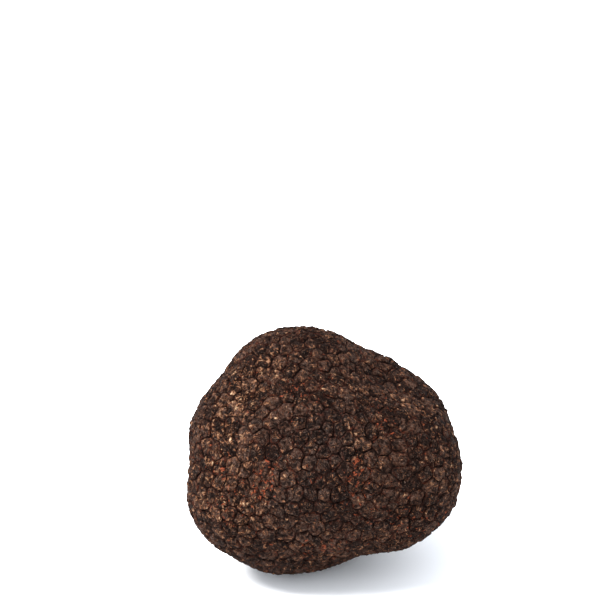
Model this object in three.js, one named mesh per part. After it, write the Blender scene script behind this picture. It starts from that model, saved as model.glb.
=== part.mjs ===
// A whole black winter truffle: one solid fruiting body, about 61 mm wide, lying on a small flat spot.
// Its body is several rounded lobes grown together. Its rind is covered by low polygonal warts,
// parted by a net of fissures. Millimetres, +Z up, the length along X, the front towards -Y.

import * as THREE from "three";
import { ConvexHull } from "three/addons/math/ConvexHull.js";

// The body, in millimetres.
const BODY_MIDDLE = new THREE.Vector3(0, 0, 26); // every part of the surface can be seen from here
const LOBE_BLEND = 1.5; // how softly one lobe runs into the next
const LOBES = [
  { name: "heart", at: [0, 0, 26], radius: 22.5 },
  { name: "left crown", at: [-7.4, 7, 40.9], radius: 11 },
  { name: "right crown", at: [0, 7.5, 39], radius: 13.6 },
  { name: "left flank", at: [-12.5, 1.5, 30.6], radius: 14.4 },
  { name: "left foot", at: [-13.2, -5.5, 20.6], radius: 13.9 },
  { name: "front foot", at: [-7.8, -6, 16.6], radius: 13.5 },
  { name: "chin", at: [5, -3, 18.2], radius: 12.4 },
  { name: "right cheek", at: [15.6, -2, 23.7], radius: 17.5 },
  { name: "right shoulder", at: [17.2, 6, 30.6], radius: 12.7 },
  { name: "right brow", at: [13.3, 9, 39], radius: 7.3 },
  { name: "left back", at: [-6, 12, 22], radius: 14 },
  { name: "right back", at: [9, 13, 20], radius: 13 },
  { name: "sole", at: [-3.5, -1, 14.8], radius: 14.8 },
  { name: "heel", at: [3, 4.5, 14.5], radius: 14.9 },
];
// Shallow dimples: where each is deepest, how wide it spreads, and how deep it is.
const DIMPLES = [
  { name: "cheek", at: [20, -19, 21], spread: 5, depth: 1.2 },
  { name: "navel", at: [1, -26, 23], spread: 4.5, depth: 0.8 },
  { name: "jaw", at: [22.5, -18, 28], spread: 3.5, depth: 0.9 },
  { name: "temple", at: [-12.5, -6.5, 44.5], spread: 3.2, depth: 0.8 },
  { name: "brow crease", at: [15.5, 3, 45], spread: 3.2, depth: 0.8 },
  { name: "brow crease end", at: [18, 0, 43.5], spread: 3, depth: 0.6 },
  { name: "chin fold", at: [-1, -23.5, 20], spread: 3.5, depth: 0.6 },
];
// Slow swells all over the body, as waves that run along crossed directions.
const SWELL_HEIGHT = 0.35;
const SWELL_LENGTH = 15;
const SWELLS = [
  { along: new THREE.Vector3(1, 0.4, 0), start: 1.1 },
  { along: new THREE.Vector3(0, 1, -0.3), start: 2.3 },
  { along: new THREE.Vector3(0.5, 0, 1), start: 0.7 },
];

// The rind, in millimetres.
const WART_PITCH = 2.45; // least distance between the middles of two warts
const WART_PITCH_SWING = 0.2; // how much that distance shrinks and grows over the body, as a share
const WART_PITCH_LENGTH = 40; // how far apart the places with the smallest warts are
const WART_HEIGHT = 0.36; // the top of the highest wart above the body
const WART_HEIGHT_SPREAD = 0.5; // how much lower the lowest wart is, as a share
const RIM_UNEVENNESS = 0.14; // how far a corner of a wart's top may drop
const FISSURE_DEPTH = 0.36; // the bottom of a fissure below the body
const FISSURE_HALF_WIDTH = 0.4; // from a fissure's corner to the corner of the wart's top beside it
const FISSURE_CLEARANCE = 0.2; // how high the fissures stay above the surface that the body rests on
const SHORT_SIDE = 1.95; // two corners of a wart that are nearer than this share one corner of its top
const CORNER_EVENNESS = 0.45; // a wart's corners, from sharp and uneven at 0 to even at 1
const SEED = 20;
const TRIES = 60000;

// The search for the surface, in millimetres.
const SEARCH_NEAR = 5;
const SEARCH_FAR = 60;
const SEARCH_HALVINGS = 32;
const SLOPE_STEP = 0.05;

const SURFACE_COLOUR = 0x2c211c;

// The sum of the swells at a point, from -1 to 1, with crests that far apart.
function swell(point, length) {
  let sum = 0;
  for (const { along, start } of SWELLS) {
    sum += Math.sin((2 * Math.PI * point.dot(along)) / length + start);
  }
  return sum / SWELLS.length;
}

// How far a point lies outside the smooth body, before warts. It is negative inside.
function distanceOutside(point) {
  let nearness = 0;
  for (const lobe of LOBES) {
    const away = point.distanceTo(new THREE.Vector3(...lobe.at)) - lobe.radius;
    nearness += Math.exp(-away / LOBE_BLEND);
  }
  let distance = -LOBE_BLEND * Math.log(nearness);
  for (const dimple of DIMPLES) {
    const near = point.distanceTo(new THREE.Vector3(...dimple.at)) / dimple.spread;
    distance += dimple.depth * Math.exp(-near * near);
  }
  return distance - SWELL_HEIGHT * swell(point, SWELL_LENGTH);
}

// The point where a ray from the body's middle leaves the smooth body.
function surfacePoint(direction) {
  let inside = SEARCH_NEAR;
  let outside = SEARCH_FAR;
  for (let step = 0; step < SEARCH_HALVINGS; step++) {
    const middle = (inside + outside) / 2;
    const point = BODY_MIDDLE.clone().addScaledVector(direction, middle);
    if (distanceOutside(point) < 0) inside = middle;
    else outside = middle;
  }
  return BODY_MIDDLE.clone().addScaledVector(direction, inside);
}

// The way straight out of the smooth body at a point.
function outwardAt(point) {
  const slope = ["x", "y", "z"].map((axis) => {
    const ahead = point.clone();
    const behind = point.clone();
    ahead[axis] += SLOPE_STEP;
    behind[axis] -= SLOPE_STEP;
    return distanceOutside(ahead) - distanceOutside(behind);
  });
  return new THREE.Vector3(...slope).normalize();
}

// A direction from the body's middle, drawn evenly from all round.
function anyDirection(random) {
  const height = 2 * random() - 1;
  const turn = 2 * Math.PI * random();
  const ring = Math.sqrt(1 - height * height);
  return new THREE.Vector3(ring * Math.cos(turn), ring * Math.sin(turn), height);
}

// The directions of the warts' middles, scattered over the body and never too close.
function wartDirections(random) {
  const directions = [];
  const middles = [];
  for (let tried = 0; tried < TRIES; tried++) {
    const direction = anyDirection(random);
    const point = surfacePoint(direction);
    const pitch = WART_PITCH * (1 - WART_PITCH_SWING * swell(point, WART_PITCH_LENGTH));
    if (middles.every((other) => other.distanceToSquared(point) > pitch * pitch)) {
      directions.push(direction);
      middles.push(point);
    }
  }
  return directions;
}

// The direction of the corner where three warts meet, between their centroid and the centre of their round.
function cornerDirection(a, b, c) {
  const centroid = a.clone().add(b).add(c).normalize();
  const round = b.clone().sub(a).cross(c.clone().sub(a)).normalize();
  return round.lerp(centroid, CORNER_EVENNESS).normalize();
}

// The point at a height over the smooth body, but never lower than the given level.
function rindPoint(direction, height, lowest) {
  const point = surfacePoint(direction);
  point.addScaledVector(outwardAt(point), height);
  point.z = Math.max(point.z, lowest);
  return point;
}

// The corners round a wart, in order, starting from an edge of the net that leaves its middle.
function cornersRound(start, cornerOf) {
  const corners = [];
  let edge = start;
  do {
    corners.push(cornerOf.get(edge.face));
    edge = edge.prev.twin;
  } while (edge !== start);
  return corners;
}

// The corners in groups of one or two: those in a group share a corner of the wart's top.
function cornerGroups(corners) {
  const groups = [];
  for (const corner of corners) {
    const last = groups.at(-1);
    if (last?.length === 1 && last[0].point.distanceTo(corner.point) < SHORT_SIDE) last.push(corner);
    else groups.push([corner]);
  }
  return groups.length < 3 ? corners.map((corner) => [corner]) : groups;
}

// One wart: steep sides rise from its corners in the fissures to the rim of its nearly flat top.
function addWart(middle, corners, random, vertices, triangles) {
  const height = WART_HEIGHT * (1 - WART_HEIGHT_SPREAD * random());
  const reach = surfacePoint(middle);
  const rim = [];
  const rimOf = new Map();
  for (const group of cornerGroups(corners)) {
    const direction = new THREE.Vector3();
    group.forEach((corner) => direction.add(corner.direction));
    direction.normalize();
    const inward = FISSURE_HALF_WIDTH / surfacePoint(direction).distanceTo(reach);
    direction.lerp(middle, inward).normalize();
    group.forEach((corner) => rimOf.set(corner, vertices.length));
    rim.push(vertices.length);
    vertices.push(rindPoint(direction, height - RIM_UNEVENNESS * random(), 0));
  }

  corners.forEach((corner, place) => {
    const next = corners[(place + 1) % corners.length];
    triangles.push(corner.index, next.index, rimOf.get(next));
    if (rimOf.get(corner) !== rimOf.get(next)) {
      triangles.push(corner.index, rimOf.get(next), rimOf.get(corner));
    }
  });
  for (let place = 2; place < rim.length; place++) {
    triangles.push(rim[0], rim[place - 1], rim[place]);
  }
}

// The body with its warts. A net joins the middles of neighbouring warts, and each of the net's
// three-sided faces holds one corner of the fissures.
function truffleGeometry(random) {
  const net = new ConvexHull().setFromPoints(wartDirections(random));
  const vertices = [];
  const cornerOf = new Map();
  const edgeFrom = new Map();
  for (const face of net.faces) {
    const edges = [0, 1, 2].map((side) => face.getEdge(side));
    const direction = cornerDirection(...edges.map((edge) => edge.tail().point));
    const point = rindPoint(direction, -FISSURE_DEPTH, FISSURE_CLEARANCE);
    cornerOf.set(face, { direction, point, index: vertices.length });
    vertices.push(point);
    edges.forEach((edge) => edgeFrom.set(edge.tail().point, edge));
  }

  const triangles = [];
  for (const [middle, edge] of edgeFrom) {
    addWart(middle, cornersRound(edge, cornerOf), random, vertices, triangles);
  }

  const geometry = new THREE.BufferGeometry().setFromPoints(vertices);
  geometry.setIndex(triangles);
  geometry.computeVertexNormals();
  return geometry;
}

// The origin is put under the middle of the body's box, on the surface that it rests on.
function centred(geometry) {
  geometry.computeBoundingBox();
  const middle = geometry.boundingBox.getCenter(new THREE.Vector3());
  return geometry.translate(-middle.x, -middle.y, 0);
}

const random = THREE.MathUtils.seededRandom;
random(SEED);

const material = new THREE.MeshStandardMaterial({
  color: SURFACE_COLOUR,
  roughness: 0.85,
  metalness: 0,
  flatShading: true,
});
const truffle = new THREE.Mesh(centred(truffleGeometry(random)), material);
truffle.name = "truffle";

const blackTruffle = new THREE.Group();
blackTruffle.add(truffle);

export default blackTruffle;
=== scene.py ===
"""A whole black winter truffle on a pale floor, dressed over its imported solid.

The rind keeps the solid's warts and fissures. It is cut finer here, so that each wart gets a low,
rough crown and each fissure draws closer. Sizes are in millimetres, and meshes are in metres.
"""

import logging
import math
import random
from dataclasses import dataclass, field
from enum import Enum
from typing import Any

import bmesh
import bpy
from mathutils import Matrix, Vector, noise

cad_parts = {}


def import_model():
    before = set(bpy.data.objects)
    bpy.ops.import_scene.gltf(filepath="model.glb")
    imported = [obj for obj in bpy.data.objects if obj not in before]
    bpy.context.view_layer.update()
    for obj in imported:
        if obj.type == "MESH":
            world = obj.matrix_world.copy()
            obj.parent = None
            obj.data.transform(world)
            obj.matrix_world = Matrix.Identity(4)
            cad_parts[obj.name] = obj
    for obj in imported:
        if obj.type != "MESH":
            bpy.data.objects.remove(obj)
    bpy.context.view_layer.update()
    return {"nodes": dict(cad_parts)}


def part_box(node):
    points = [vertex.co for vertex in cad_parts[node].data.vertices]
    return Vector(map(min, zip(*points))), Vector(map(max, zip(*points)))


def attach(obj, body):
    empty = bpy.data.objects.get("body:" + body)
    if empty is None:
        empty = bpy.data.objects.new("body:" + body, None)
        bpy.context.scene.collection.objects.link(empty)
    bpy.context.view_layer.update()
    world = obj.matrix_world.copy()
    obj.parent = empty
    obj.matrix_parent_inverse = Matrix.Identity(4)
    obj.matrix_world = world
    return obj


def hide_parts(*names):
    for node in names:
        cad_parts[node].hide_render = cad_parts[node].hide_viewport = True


MM = 0.001
MIDDLE = "middle"  # the name of the layer that holds where the middle of a point's wart is, in metres
OUTWARD = "outward"  # the name of the layer that holds the way that a point's wart faces
CHARCOAL = "#140A07"
NEAR_BLACK = "#070201"

log = logging.getLogger("black_truffle")


def linear(colour: str) -> tuple[float, float, float, float]:
    """Turns an sRGB hex colour into the linear colour that a shader takes.

    Args:
        colour: the colour as "#RRGGBB".

    Returns:
        Red, green, blue and an alpha of 1.
    """
    shares = [int(colour[place : place + 2], 16) / 255 for place in (1, 3, 5)]
    red, green, blue = (
        share / 12.92 if share <= 0.04045 else ((share + 0.055) / 1.055) ** 2.4 for share in shares
    )
    return red, green, blue, 1.0


def add_node(
    tree: bpy.types.NodeTree,
    kind: str,
    settings: dict[str, Any] | None = None,
    inputs: dict[int | str, Any] | None = None,
) -> bpy.types.Node:
    """Adds one node to a material, with its settings and inputs.

    Args:
        tree: the material's node tree.
        kind: the node's type name.
        settings: values for the node's own properties.
        inputs: for each input, by name or place, a value or the output socket that feeds it.

    Returns:
        The new node.
    """
    node = tree.nodes.new(kind)
    for name, value in (settings or {}).items():
        setattr(node, name, value)
    for name, value in (inputs or {}).items():
        if isinstance(value, bpy.types.NodeSocket):
            tree.links.new(value, node.inputs[name])
        else:
            node.inputs[name].default_value = value
    return node


class Mark(Enum):
    """What each point of the rind's mesh remembers for its material."""

    CROWN = "crown"  # 0 at the bottom of a fissure, 1 on a wart's top
    TIP = "tip"  # 0 at a wart's rim, 1 at its middle
    TONE = "tone"  # a number of its own for each wart
    RELIEF = "relief"  # 0 in the pores of a wart's skin, about 1 on its ridges
    WORN = "worn"  # where the pale flecks are thick
    RUST = "rust"  # where rusty soil clings
    ASHEN = "ashen"  # where the rind is greyer


@dataclass(frozen=True)
class Patch:
    """A soft round patch of the rind, in millimetres."""

    at: tuple[float, float, float]
    spread: float
    strength: float

    def share(self, point: Vector) -> float:
        """The patch's strength at a point, in millimetres."""
        return self.strength * math.exp(-((point - Vector(self.at)).length_squared / self.spread**2))


class Pattern(Enum):
    """What the rind's coats of colour can follow, besides the marks."""

    MOTTLE = "mottle"
    SPECK = "speck"
    TINT = "tint"
    ZONE = "zone"
    FLECKS = "flecks"
    CRUMBS = "crumbs"
    STREAKS = "streaks"  # rays out of each wart's middle
    CRACK = "crack"  # 0 on a fine crack
    SKIN = "skin"  # the mottle, moved by each wart's own tone
    GREY = "grey"  # 2 where the skin is greyest
    RUBBED = "rubbed"  # high where the skin is rubbed through
    CAUGHT = "caught"  # high where rusty crumbs are caught


@dataclass(frozen=True)
class Clouds:
    """A cloudy pattern."""

    makes: Pattern
    width: float  # of one cloud, in millimetres
    detail: float
    shift: float  # moves the pattern, so that no two lie alike
    distortion: float = 0.0


@dataclass(frozen=True)
class Where:
    """A place that grows from nothing to full as a pattern or a mark goes from start to end."""

    follows: Pattern | Mark
    start: float
    end: float
    eased: bool = True  # whether it grows along a smooth curve


@dataclass(frozen=True)
class Term:
    """One part of a mix: a weight, times what it is of, and only at its places."""

    weight: float
    of: Pattern | Mark | None = None  # without one, the places alone count
    places: tuple[Where, ...] = ()


@dataclass(frozen=True)
class Mix:
    """A pattern that is the sum of its terms."""

    makes: Pattern
    terms: tuple[Term, ...]


@dataclass(frozen=True)
class Coat:
    """A colour that lies over the skin where all its places meet."""

    name: str
    colour: str
    share: float  # how much of the skin it hides where it is thickest
    places: tuple[Where, ...]


@dataclass(frozen=True)
class RindFinish:
    """Black truffle rind: hard, dry, matt skin of a melanin-dark fungus, brushed clean of soil.

    To the eye it is charcoal and brown by turns, rough like cinder, with near-black cracks, pale tan
    flecks where the warts' tips are rubbed through, and specks of rusty soil held in the cracks.
    """

    roughness: float = 0.8
    specular: float = 0.03
    wander: float = 0.9  # how far the patterns stray, in millimetres
    wander_width: float = 1.2
    wander_detail: float = 2.0
    cloud_roughness: float = 0.7
    clouds: tuple[Clouds, ...] = (
        Clouds(Pattern.MOTTLE, 1.4, 4, 0),
        Clouds(Pattern.SPECK, 0.38, 3, 7),  # real grain is about 0.1 mm, drawn coarser so that it shows
        Clouds(Pattern.TINT, 1.3, 3, 41),
        Clouds(Pattern.ZONE, 5.5, 2, 53),
        Clouds(Pattern.FLECKS, 1.1, 3, 13, 0.4),
        Clouds(Pattern.CRUMBS, 1.1, 3, 29, 0.6),
    )
    crack_width: float = 1.1  # from one fine crack to the next
    streak_count: float = 3.4  # how often the streaks change in a radian round a wart's middle
    streak_detail: float = 2.0
    mixes: tuple[Mix, ...] = (
        Mix(Pattern.SKIN, (Term(1.0, Pattern.MOTTLE), Term(0.22, Mark.TONE))),
        Mix(
            Pattern.GREY,
            (Term(1.0, Mark.ASHEN), Term(1.0, places=(Where(Pattern.TINT, 0.48, 0.36),))),
        ),
        Mix(
            Pattern.RUBBED,
            (
                Term(0.7, Pattern.FLECKS),
                Term(0.7, Pattern.STREAKS),
                Term(0.25, Mark.RELIEF),
                Term(0.11, Mark.WORN, (Where(Pattern.TINT, 0.36, 0.6),)),
                Term(0.08, places=(Where(Mark.TIP, 0.3, 1.0), Where(Mark.TONE, 0.5, 1.0))),
            ),
        ),
        Mix(
            Pattern.CAUGHT,
            (Term(1.0, Pattern.CRUMBS), Term(0.17, Mark.RUST, (Where(Mark.RELIEF, 0.75, 0.3),))),
        ),
    )
    coats: tuple[Coat, ...] = (
        Coat("brown", "#432F26", 1.0, (Where(Pattern.SKIN, 0.5, 0.74),)),
        Coat("umber", "#3A2116", 0.7, (Where(Pattern.TINT, 0.47, 0.62),)),
        Coat("ashen", "#26201E", 0.8, (Where(Pattern.GREY, 0.0, 2.0, eased=False),)),
        Coat("grit", "#665348", 0.7, (Where(Pattern.SPECK, 0.52, 0.68),)),
        Coat("pinholes", NEAR_BLACK, 0.8, (Where(Pattern.SPECK, 0.48, 0.36),)),
        # A reddish tint, patched by the soil crumbs, down the fissure walls; it is darker than the skin
        # there, so it is partly painted shade in the fissures.
        Coat(
            "russet flanks",
            "#421C11",
            0.5,
            (Where(Pattern.CRUMBS, 0.44, 0.58), Where(Mark.CROWN, 1.0, 0.6)),
        ),
        # Painted shade: near-black laid in the low pits of the skin's roughness, where the mesh sinks
        # furthest.
        Coat("pores", NEAR_BLACK, 0.9, (Where(Mark.RELIEF, 0.46, 0.14),)),
        Coat(
            "splits in the darker warts",
            NEAR_BLACK,
            1.0,
            (Where(Pattern.CRACK, 0.08, 0.0), Where(Mark.TONE, 1.0, 0.1)),
        ),
        Coat("dark zones", CHARCOAL, 0.6, (Where(Pattern.ZONE, 0.48, 0.34),)),
        Coat("amber", "#734B33", 0.8, (Where(Pattern.RUBBED, 0.9, 0.98), Where(Mark.CROWN, 0.4, 0.9))),
        Coat("tan", "#83654F", 0.8, (Where(Pattern.RUBBED, 0.97, 1.04), Where(Mark.CROWN, 0.4, 0.9))),
        Coat("straw", "#BA9F7C", 0.85, (Where(Pattern.RUBBED, 1.05, 1.12), Where(Mark.CROWN, 0.4, 0.9))),
        Coat("rust", "#8A442C", 0.75, (Where(Pattern.CAUGHT, 0.65, 0.77),)),
        # Painted shade: near-black laid at the bottom of each fissure, darkest where the fissure is
        # deepest and least filled in, in place of the shade that falls there.
        Coat(
            "fissures",
            NEAR_BLACK,
            1.0,
            (Where(Mark.CROWN, 0.62, 0.15), Where(Pattern.TINT, 0.3, 0.56)),
        ),
    )
    grain_depth: float = 0.55
    crack_depth: float = 0.16
    crack_strength: float = 0.7
    crack_side: Where = Where(Pattern.CRACK, 0.0, 0.2)
    streak_depth: float = 0.6
    streak_place: Where = Where(Mark.CROWN, 0.3, 0.8)

    def material(self) -> bpy.types.Material:
        """Builds the rind's material.

        Returns:
            A procedural material on object coordinates and on the rind's own marks.
        """
        made = bpy.data.materials.new("black truffle rind")
        made.use_nodes = True
        tree = made.node_tree
        tree.nodes.clear()
        found = self._patterns(tree)
        surface = add_node(
            tree,
            "ShaderNodeBsdfPrincipled",
            inputs={
                "Base Color": self._skin(tree, found),
                "Roughness": self.roughness,
                "Specular IOR Level": self.specular,
                "Normal": self._relief(tree, found),
            },
        )
        add_node(tree, "ShaderNodeOutputMaterial", inputs={"Surface": surface.outputs["BSDF"]})
        return made

    def _patterns(self, tree: bpy.types.NodeTree) -> dict[Pattern | Mark, Any]:
        """Adds the marks and all the patterns.

        Args:
            tree: the material's node tree.

        Returns:
            The output of each.
        """
        spot = add_node(tree, "ShaderNodeTexCoord").outputs["Object"]
        straight = add_node(
            tree, "ShaderNodeVectorMath", {"operation": "SCALE"}, {0: spot, "Scale": 1 / MM}
        ).outputs[0]
        drift = add_node(
            tree,
            "ShaderNodeTexNoise",
            inputs={"Vector": straight, "Scale": 1 / self.wander_width, "Detail": self.wander_detail},
        ).outputs["Color"]
        place = add_node(
            tree,
            "ShaderNodeVectorMath",
            {"operation": "MULTIPLY_ADD"},
            {0: drift, 1: (self.wander,) * 3, 2: straight},
        ).outputs[0]
        found: dict[Pattern | Mark, Any] = {
            mark: add_node(tree, "ShaderNodeAttribute", {"attribute_name": mark.value}).outputs["Fac"]
            for mark in Mark
        }
        for clouds in self.clouds:
            moved = add_node(
                tree,
                "ShaderNodeVectorMath",
                {"operation": "ADD"},
                {0: place, 1: (clouds.shift, -clouds.shift, clouds.shift)},
            ).outputs[0]
            found[clouds.makes] = add_node(
                tree,
                "ShaderNodeTexNoise",
                inputs={
                    "Vector": moved,
                    "Scale": 1 / clouds.width,
                    "Detail": clouds.detail,
                    "Roughness": self.cloud_roughness,
                    "Distortion": clouds.distortion,
                },
            ).outputs["Fac"]
        found[Pattern.CRACK] = add_node(
            tree,
            "ShaderNodeTexVoronoi",
            {"feature": "DISTANCE_TO_EDGE"},
            {"Vector": place, "Scale": 1 / self.crack_width},
        ).outputs["Distance"]
        found[Pattern.STREAKS] = self._streaks(tree, spot)
        for mix in self.mixes:
            total: Any = 0.0
            for term in mix.terms:
                most = found[term.of] if term.of else 1.0
                amount = self._thickness(tree, found, most, term.places)
                total = add_node(
                    tree,
                    "ShaderNodeMath",
                    {"operation": "MULTIPLY_ADD"},
                    {0: amount, 1: term.weight, 2: total},
                ).outputs[0]
            found[mix.makes] = total
        return found

    def _streaks(self, tree: bpy.types.NodeTree, spot: bpy.types.NodeSocket) -> bpy.types.NodeSocket:
        """Adds the streaks, which run outwards from each wart's middle.

        Args:
            tree: the material's node tree.
            spot: the output that holds the object coordinates.

        Returns:
            The output that holds the streaks.
        """
        middle = add_node(tree, "ShaderNodeAttribute", {"attribute_name": MIDDLE}).outputs["Vector"]
        away = add_node(
            tree, "ShaderNodeVectorMath", {"operation": "SUBTRACT"}, {0: spot, 1: middle}
        ).outputs[0]
        ray = add_node(tree, "ShaderNodeVectorMath", {"operation": "NORMALIZE"}, {0: away}).outputs[0]
        around = add_node(
            tree,
            "ShaderNodeVectorMath",
            {"operation": "MULTIPLY_ADD"},
            {0: middle, 1: (1 / MM / self.streak_count,) * 3, 2: ray},
        ).outputs[0]
        return add_node(
            tree,
            "ShaderNodeTexNoise",
            inputs={
                "Vector": around,
                "Scale": self.streak_count,
                "Detail": self.streak_detail,
                "Roughness": self.cloud_roughness,
            },
        ).outputs["Fac"]

    @staticmethod
    def _thickness(
        tree: bpy.types.NodeTree, found: dict[Pattern | Mark, Any], most: Any, places: tuple[Where, ...]
    ) -> Any:
        """Finds how thick something lies at its places.

        Args:
            tree: the material's node tree.
            found: the output of each pattern and mark.
            most: a number or an output, for the thickness where all the places are full.
            places: where it lies.

        Returns:
            The thickness, as an output, or as it was given if it has no places.
        """
        for where in places:
            most = add_node(
                tree,
                "ShaderNodeMapRange",
                {"interpolation_type": "SMOOTHSTEP" if where.eased else "LINEAR"},
                {
                    "Value": found[where.follows],
                    "From Min": where.start,
                    "From Max": where.end,
                    "To Max": most,
                },
            ).outputs["Result"]
        return most

    def _skin(self, tree: bpy.types.NodeTree, found: dict[Pattern | Mark, Any]) -> Any:
        """Lays the coats over charcoal skin, one by one.

        Args:
            tree: the material's node tree.
            found: the output of each pattern and mark.

        Returns:
            The output that holds the skin's colour.
        """
        skin: Any = linear(CHARCOAL)
        for coat in self.coats:
            share = self._thickness(tree, found, coat.share, coat.places)
            skin = add_node(
                tree,
                "ShaderNodeMix",
                {"data_type": "RGBA", "label": coat.name},
                {0: share, 6: skin, 7: linear(coat.colour)},
            ).outputs[2]
        return skin

    def _relief(self, tree: bpy.types.NodeTree, found: dict[Pattern | Mark, Any]) -> Any:
        """Adds the relief that is too fine for the mesh: the grain, the cracks and the streaks.

        Args:
            tree: the material's node tree.
            found: the output of each pattern and mark.

        Returns:
            The output that holds the surface's normal.
        """
        crack_side = self._thickness(tree, found, 1.0, (self.crack_side,))
        streaked = self._thickness(tree, found, 1.0, (self.streak_place,))
        inputs: dict[int | str, Any] = {}
        for depth, strength, height in (
            (self.grain_depth, 1.0, found[Pattern.SPECK]),
            (self.crack_depth, self.crack_strength, crack_side),
            (self.streak_depth, streaked, found[Pattern.STREAKS]),
        ):
            inputs |= {"Strength": strength, "Distance": depth * MM, "Height": height}
            inputs["Normal"] = add_node(tree, "ShaderNodeBump", inputs=inputs).outputs["Normal"]
        return inputs["Normal"]


@dataclass
class Rind:
    """The truffle's rind: the solid's surface with domed, rough warts and close fissures."""

    finish: RindFinish = field(default_factory=RindFinish)
    merging: float = 0.002  # points of the solid that are nearer than this are one
    valley_rise: float = 0.05  # a fissure's point lies this far under the points round it
    drawn_in: float = 0.36  # how much of the way the rims close up over a fissure
    filled_in: float = 0.76  # how much of its depth the shallowest fissure loses
    valley_tone: float = 0.5
    crown_height: float = 0.14
    crown_spread: float = 0.14  # how much higher or lower than that a crown can be
    cuts: int = 2  # in each edge of the solid
    longest_cut: int = 34000  # so many of the longest edges are cut once more
    wander: float = 0.32  # how far the warts' outlines stray
    wander_width: float = 1.9
    rough_height: float = 0.34
    rough_width: float = 0.85
    rough_octaves: int = 3
    rough_middle: float = 0.4  # the roughness that neither raises nor lowers a point
    valley_share: float = 0.3  # how rough the bottom of a fissure is, where a wart's top is 1
    pit_height: float = 0.07
    pit_width: float = 0.5
    sharp_angle: float = 50.0
    seed: int = 7
    worn: tuple[Patch, ...] = (
        Patch((-12, -4, 48), 5, 0.8),
        Patch((-19, -6, 44), 5.5, 1.0),
        Patch((-21, -13, 38), 7, 0.85),
        Patch((-25, -16, 28), 8, 0.75),
        Patch((-18, -21, 21), 8, 0.65),
        Patch((-4, -4, 50), 2.5, 0.6),
        Patch((2, -2, 50), 2, 0.7),
        Patch((7, -7, 46), 4, 0.6),
        Patch((20, -8, 40), 4, 0.7),
        Patch((8, -18, 37), 4, 0.9),
        Patch((25, -15, 29), 3, 0.7),
        Patch((14, -18, 15), 5, 0.5),
        Patch((25, -8, 34), 6, 0.5),
        Patch((-2, -21, 12), 5, 0.5),
    )
    rust: tuple[Patch, ...] = (
        Patch((-11, -21, 33), 3, 0.9),
        Patch((-13, -22, 28), 3.5, 0.9),
        Patch((-22, -16, 31), 3.5, 0.8),
        Patch((-20, -20, 24), 5, 0.6),
        Patch((7, -21, 33), 3.5, 0.9),
        Patch((7, -22, 27), 3.5, 0.8),
        Patch((13, -13, 39), 4, 0.7),
        Patch((-6, -10, 46), 4, 0.6),
        Patch((-1, -21, 14), 6, 0.7),
        Patch((16, -18, 20), 5, 0.6),
    )
    ashen: tuple[Patch, ...] = (
        Patch((1, -20, 38), 8, 1.0),
        Patch((-5, -24, 27), 7, 0.8),
    )

    def build(self, solid: bpy.types.Object) -> bpy.types.Object:
        """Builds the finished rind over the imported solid.

        Args:
            solid: the CAD node, which stays as it is.

        Returns:
            The rind's object, in place and with its material.
        """
        mesh = bmesh.new()
        mesh.from_mesh(solid.data)
        bmesh.ops.remove_doubles(mesh, verts=mesh.verts, dist=self.merging * MM)
        layers = {each: mesh.verts.layers.float.new(each.value) for each in Mark}
        mesh.verts.layers.float_vector.new(MIDDLE)
        mesh.verts.layers.float_vector.new(OUTWARD)
        self._crown_warts(mesh, layers)
        bmesh.ops.subdivide_edges(mesh, edges=mesh.edges, cuts=self.cuts, use_grid_fill=True)
        longest = sorted(mesh.edges, key=lambda edge: -edge.calc_length())[: self.longest_cut]
        bmesh.ops.subdivide_edges(mesh, edges=longest, cuts=1, use_single_edge=True)
        bmesh.ops.triangulate(mesh, faces=mesh.faces)
        self._mark_patches(mesh, layers)
        self._roughen(mesh, layers)
        self._settle(mesh)

        data = bpy.data.meshes.new("truffle rind")
        mesh.to_mesh(data)
        mesh.free()
        data.materials.append(self.finish.material())
        rind = bpy.data.objects.new("truffle_rind", data)
        bpy.context.scene.collection.objects.link(rind)
        return rind

    def _crown_warts(self, mesh: bmesh.types.BMesh, layers: dict[Mark, Any]) -> None:
        """Marks the warts and the fissures, closes the rims up, and raises each wart's middle.

        Args:
            mesh: the solid's surface, merged.
            layers: the layers that hold the marks.
        """
        mesh.normal_update()
        chance = random.Random(self.seed)
        valleys = {point for point in mesh.verts if self._rise_round(point) > self.valley_rise * MM}
        for point in mesh.verts:
            point[layers[Mark.CROWN]] = 1.0
            point[layers[Mark.TONE]] = self.valley_tone
        for point in mesh.verts:
            near = [edge.other_vert(point) for edge in point.link_edges]
            near = [other.co for other in near if other in valleys]
            if point not in valleys and near:
                across = sum(near, Vector()) / len(near) - point.co
                across -= across.dot(point.normal) * point.normal
                point.co += self.drawn_in * across

        rises = {}
        for point in sorted(valleys, key=lambda point: point.index):
            filled = self.filled_in * chance.random()
            rises[point] = filled * self._rise_round(point) * point.normal
            point[layers[Mark.CROWN]] = filled / 2
        for point, rise in rises.items():
            point.co += rise

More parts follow.
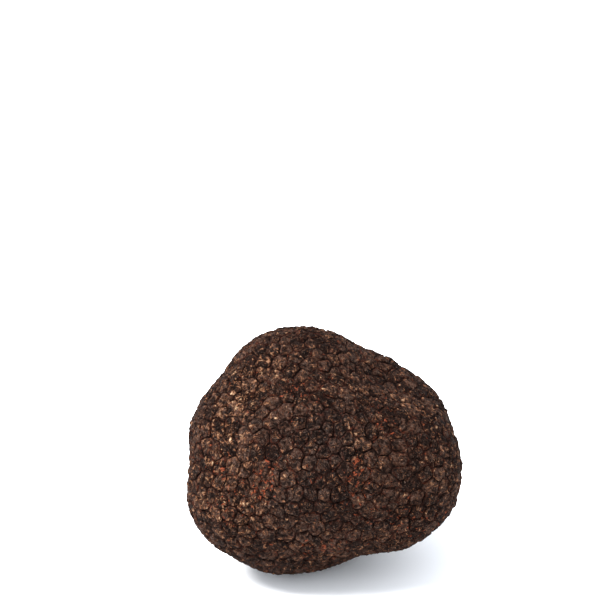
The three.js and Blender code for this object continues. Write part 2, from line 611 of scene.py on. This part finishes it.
        tops = {face for face in mesh.faces if not valleys.intersection(face.verts)}
        inner = [edge for edge in mesh.edges if tops.issuperset(edge.link_faces)]
        bmesh.ops.dissolve_edges(mesh, edges=inner, use_verts=False, use_face_split=False)
        tops = [face for face in mesh.faces if not valleys.intersection(face.verts)]
        middles = bmesh.ops.poke(mesh, faces=tops, center_mode="MEAN")["verts"]
        mesh.normal_update()
        middle_layer = mesh.verts.layers.float_vector[MIDDLE]
        outward_layer = mesh.verts.layers.float_vector[OUTWARD]
        for middle in middles:
            tone = chance.random()
            outward = middle.normal.copy()
            height = self.crown_height + self.crown_spread * (2 * chance.random() - 1)
            middle.co += height * MM * outward
            middle[layers[Mark.CROWN]] = 1.0
            middle[layers[Mark.TIP]] = 1.0
            for point in (middle, *(edge.other_vert(middle) for edge in middle.link_edges)):
                point[layers[Mark.TONE]] = tone
                point[middle_layer] = middle.co
                point[outward_layer] = outward
        for point in valleys:
            near = [edge.other_vert(point) for edge in point.link_edges]
            near = [other for other in near if other not in valleys]
            for layer in (middle_layer, outward_layer):
                point[layer] = sum((other[layer] for other in near), Vector()) / len(near)
        log.info("%d warts, %d corners of fissures", len(middles), len(valleys))

    @staticmethod
    def _rise_round(point: bmesh.types.BMVert) -> float:
        """How far the points next to a point stand above it, on average."""
        steps = [edge.other_vert(point).co - point.co for edge in point.link_edges]
        return sum(step.dot(point.normal) for step in steps) / len(steps)

    def _roughen(self, mesh: bmesh.types.BMesh, layers: dict[Mark, Any]) -> None:
        """Gives the warts their uneven, cindery surface.

        Args:
            mesh: the rind, cut fine.
            layers: the layers that hold the marks.
        """
        noise.seed_set(self.seed)
        outward_layer = mesh.verts.layers.float_vector[OUTWARD]
        for point in mesh.verts:
            place = point.co / MM
            outward = point[outward_layer].normalized()
            drift = noise.noise_vector(place / self.wander_width)
            drift -= drift.dot(outward) * outward
            rough = noise.turbulence(place / self.rough_width, self.rough_octaves, True)
            point[layers[Mark.RELIEF]] = rough
            pit = self.pit_height * noise.noise(place / self.pit_width)
            share = self.valley_share + (1 - self.valley_share) * point[layers[Mark.CROWN]]
            share *= 1 + point[layers[Mark.WORN]]
            rise = (self.rough_height * (rough - self.rough_middle) + pit) * share
            point.co += (self.wander * drift + rise * outward) * MM

    def _mark_patches(self, mesh: bmesh.types.BMesh, layers: dict[Mark, Any]) -> None:
        """Marks how worn, rusty and ashen each point is.

        Args:
            mesh: the rind, cut fine.
            layers: the layers that hold the marks.
        """
        for mark, patches in ((Mark.WORN, self.worn), (Mark.RUST, self.rust), (Mark.ASHEN, self.ashen)):
            for point in mesh.verts:
                place = point.co / MM
                point[layers[mark]] = min(1.0, sum(patch.share(place) for patch in patches))

    def _settle(self, mesh: bmesh.types.BMesh) -> None:
        """Keeps the rind on the floor, and smooths its shading except over sharp edges.

        Args:
            mesh: the finished rind.
        """
        for point in mesh.verts:
            point.co.z = max(point.co.z, 0.0)
        mesh.normal_update()
        for face in mesh.faces:
            face.smooth = True
        for edge in mesh.edges:
            edge.smooth = edge.calc_face_angle(0.0) < math.radians(self.sharp_angle)


@dataclass
class Studio:
    """The pale floor, the soft light and the camera."""

    floor_width: float = 4000
    paper: str = "#F4F4F4"
    paper_roughness: float = 0.9
    paper_specular: float = 0.2
    sky: str = "#EEF3FA"
    sky_strength: float = 2.05
    key_at: tuple[float, float, float] = (-540, -100, 850)
    key_spread: float = 30.0
    key_power: float = 9.8
    camera_distance: float = 374
    camera_height: float = 27.0
    lens: float = 100.0
    sensor: float = 36.0
    image_width: int = 600
    seen_at: tuple[float, float] = (325.7, 450.5)  # where the truffle's middle shows, in pixels
    nearest_seen: float = 10.0

    def build(self, lowest: Vector, highest: Vector) -> None:
        """Sets the scene round the truffle.

        Args:
            lowest: the lowest corner of the truffle's box, in metres.
            highest: its highest corner.
        """
        self._lay_floor()
        self._hang_lights()
        self._place_camera((lowest + highest) / 2)

    def _lay_floor(self) -> None:
        """Lays a matt white paper floor under the truffle."""
        mesh = bmesh.new()
        bmesh.ops.create_grid(mesh, x_segments=1, y_segments=1, size=self.floor_width * MM / 2)
        data = bpy.data.meshes.new("floor")
        mesh.to_mesh(data)
        mesh.free()
        paper = bpy.data.materials.new("matt white paper")
        paper.use_nodes = True
        surface = paper.node_tree.nodes["Principled BSDF"]
        surface.inputs["Base Color"].default_value = linear(self.paper)
        surface.inputs["Roughness"].default_value = self.paper_roughness
        surface.inputs["Specular IOR Level"].default_value = self.paper_specular
        data.materials.append(paper)
        floor = bpy.data.objects.new("floor", data)
        bpy.context.scene.collection.objects.link(floor)

    def _hang_lights(self) -> None:
        """Hangs a wide soft light at the upper left, in an even pale surround."""
        scene = bpy.context.scene
        scene.view_settings.view_transform = "Standard"
        world = bpy.data.worlds.new("studio")
        world.use_nodes = True
        surround = world.node_tree.nodes["Background"]
        surround.inputs["Color"].default_value = linear(self.sky)
        surround.inputs["Strength"].default_value = self.sky_strength
        scene.world = world
        panel = bpy.data.lights.new("key", type="SUN")
        panel.angle = math.radians(self.key_spread)
        panel.energy = self.key_power
        key = bpy.data.objects.new("key", panel)
        key.location = Vector(self.key_at) * MM
        key.rotation_euler = (-key.location).to_track_quat("-Z", "Y").to_euler()
        scene.collection.objects.link(key)

    def _place_camera(self, middle: Vector) -> None:
        """Places the camera so that the truffle's middle shows at its place in the picture.

        Args:
            middle: the middle of the truffle's box, in metres.
        """
        height = math.radians(self.camera_height)
        toward = Vector((0, -math.cos(height), math.sin(height)))
        across = Vector((1, 0, 0))
        upward = toward.cross(across)
        per_pixel = self.camera_distance * MM * self.sensor / self.lens / self.image_width
        right, down = (place - self.image_width / 2 for place in self.seen_at)
        eye = middle + toward * self.camera_distance * MM
        aim = middle + (upward * down - across * right) * per_pixel
        lens = bpy.data.cameras.new("camera")
        lens.lens = self.lens
        lens.sensor_width = self.sensor
        lens.clip_start = self.nearest_seen * MM
        camera = bpy.data.objects.new("camera", lens)
        camera.location = eye
        camera.rotation_euler = (aim - eye).to_track_quat("-Z", "Y").to_euler()
        bpy.context.scene.collection.objects.link(camera)
        bpy.context.scene.camera = camera


def main() -> None:
    """Builds the truffle's rind over its solid, then the studio round it."""
    logging.basicConfig(level=logging.INFO, format="%(message)s")
    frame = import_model()
    rind = Rind().build(frame["nodes"]["truffle"])
    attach(rind, "root")
    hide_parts("truffle")
    log.info("%s: %d faces", rind.name, len(rind.data.polygons))
    Studio().build(*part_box("truffle"))


if __name__ == "__main__":
    main()
